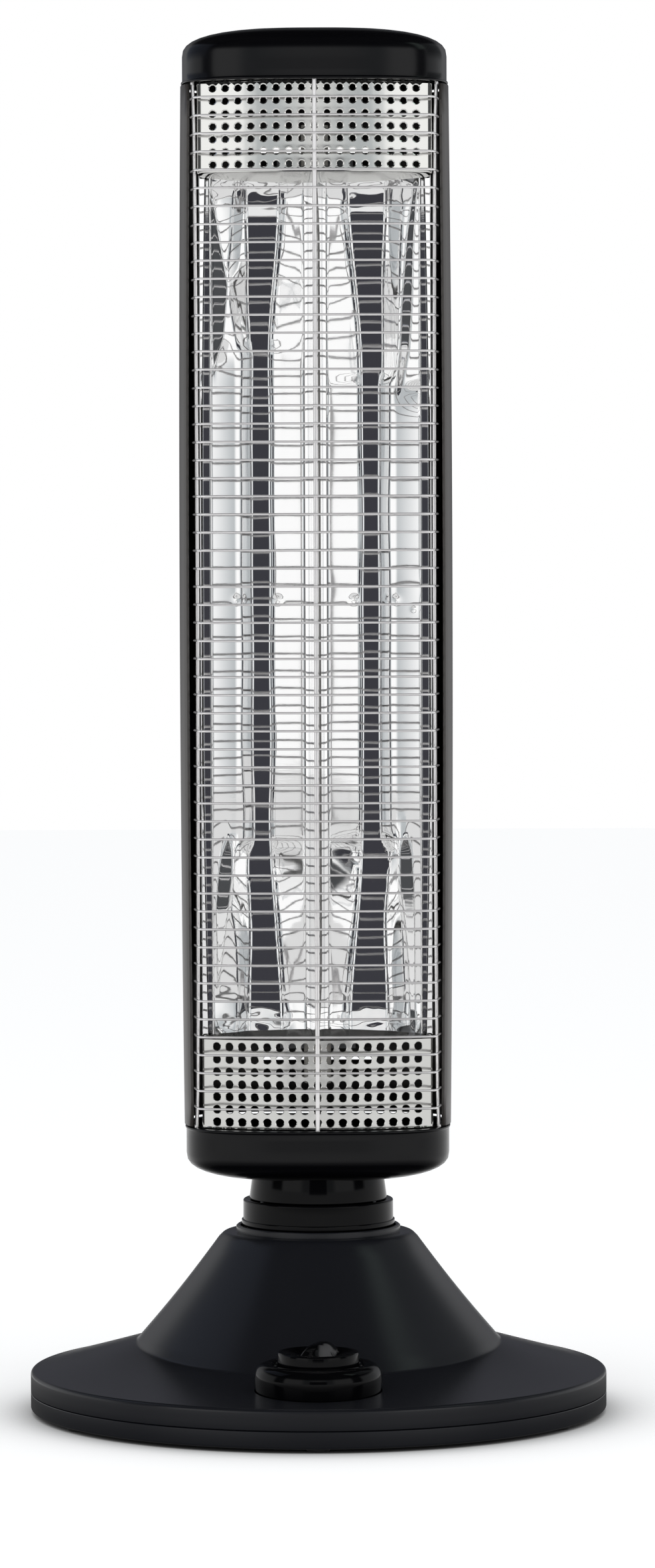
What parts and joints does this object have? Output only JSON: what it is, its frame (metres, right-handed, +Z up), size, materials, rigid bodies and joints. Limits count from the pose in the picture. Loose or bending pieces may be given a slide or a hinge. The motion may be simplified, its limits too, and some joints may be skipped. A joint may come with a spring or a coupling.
{
  "type": "electric radiant heater",
  "caption": "Upright radiant heater: lamp and folded reflector behind a wire guard, in a slim head that swings on a cone and round base with a front dial.",
  "frame": {"origin": "centre of the base disc, on the floor under the rubber feet", "axes": "+Z up, front of the heater towards -Y, +X to the right seen from the front"},
  "size_m": [0.2974, 0.2974, 0.713],
  "materials": {
    "satin_black": "satin moulded black plastic",
    "gloss_black": "gloss moulded black plastic",
    "black_sheet": "satin black powder coat on bent sheet",
    "chrome_wire": "bright chrome on welded wire",
    "polished_steel": "polished perforated stainless sheet",
    "polished_aluminium": "mirror-polished folded sheet",
    "plated_steel": "zinc plated",
    "ballast_iron": "dull dark iron",
    "quartz_glass": "clear fused quartz",
    "carbon_fibre": "dark braided carbon strand",
    "porcelain": "unglazed white ceramic",
    "rubber": "matt black rubber",
    "white_nylon": "natural nylon",
    "dark_plastic": "dark moulded plastic",
    "cable_sheath": "sleeved wiring"
  },
  "bodies": {
    "base": {"foot_1": "rubber", "foot_2": "rubber", "foot_3": "rubber", "foot_4": "rubber", "foot_5": "rubber", "foot_6": "rubber", "base_plate": "satin_black", "base_cover": "satin_black", "base_screw_1": "plated_steel", "base_screw_2": "plated_steel", "base_screw_3": "plated_steel", "base_screw_4": "plated_steel", "ballast_plate": "ballast_iron", "control_bezel": "gloss_black", "rotary_switch": "dark_plastic", "tip_switch_body": "dark_plastic", "motor_bracket": "plated_steel", "swing_motor": "plated_steel", "cord_gland": "rubber", "base_harness": "cable_sheath", "thrust_washer": "white_nylon"},
    "head": {"swivel_plate": "plated_steel", "swivel_screw_1": "plated_steel", "swivel_screw_2": "plated_steel", "swivel_screw_3": "plated_steel", "neck_ring": "gloss_black", "neck_sleeve": "gloss_black", "neck_screw_1": "plated_steel", "neck_screw_2": "plated_steel", "neck_screw_3": "plated_steel", "top_cap": "gloss_black", "bottom_cap": "gloss_black", "rear_housing": "black_sheet", "cap_screw_1": "plated_steel", "cap_screw_2": "plated_steel", "cap_screw_3": "plated_steel", "cap_screw_4": "plated_steel", "reflector": "polished_aluminium", "lamp_bracket_top": "plated_steel", "lamp_bracket_bottom": "plated_steel", "lamp_end_top": "porcelain", "lamp_end_bottom": "porcelain", "quartz_tube": "quartz_glass", "heating_strand": "carbon_fibre", "vent_cover_top": "polished_steel", "vent_cover_bottom": "polished_steel", "wire_guard": "chrome_wire", "thermal_cutout": "dark_plastic", "head_harness": "cable_sheath"},
    "knob": {"control_knob": "gloss_black", "switch_shaft": "plated_steel"},
    "crank": {"crank_disc": "white_nylon"},
    "plunger": {"tip_switch_plunger": "white_nylon"}
  },
  "joints": [
    {"name": "head_swing", "type": "hinge", "parent": "base", "child": "head", "pos_m": [0, 0.035, 0.082], "axis": [0, 0, 1], "range_deg": [-40, 40]},
    {"name": "knob_turn", "type": "hinge", "parent": "base", "child": "knob", "pos_m": [0, -0.098, 0.04], "axis": [0, 0, 1], "range_deg": [-135, 0]},
    {"name": "crank_turn", "type": "hinge", "parent": "base", "child": "crank", "pos_m": [0, 0.009, 0.073], "axis": [0, 0, 1], "range_deg": [-130, 130]},
    {"name": "plunger_press", "type": "slide", "parent": "base", "child": "plunger", "axis": [0, 0, -1], "range_m": [0, 0.004], "stiffness_N_per_m": 50, "springref_m": 0.006}
  ],
  "couplings": [
    {"joint": "crank_turn", "follows": "head_swing", "ratio": 3.25}
  ]
}
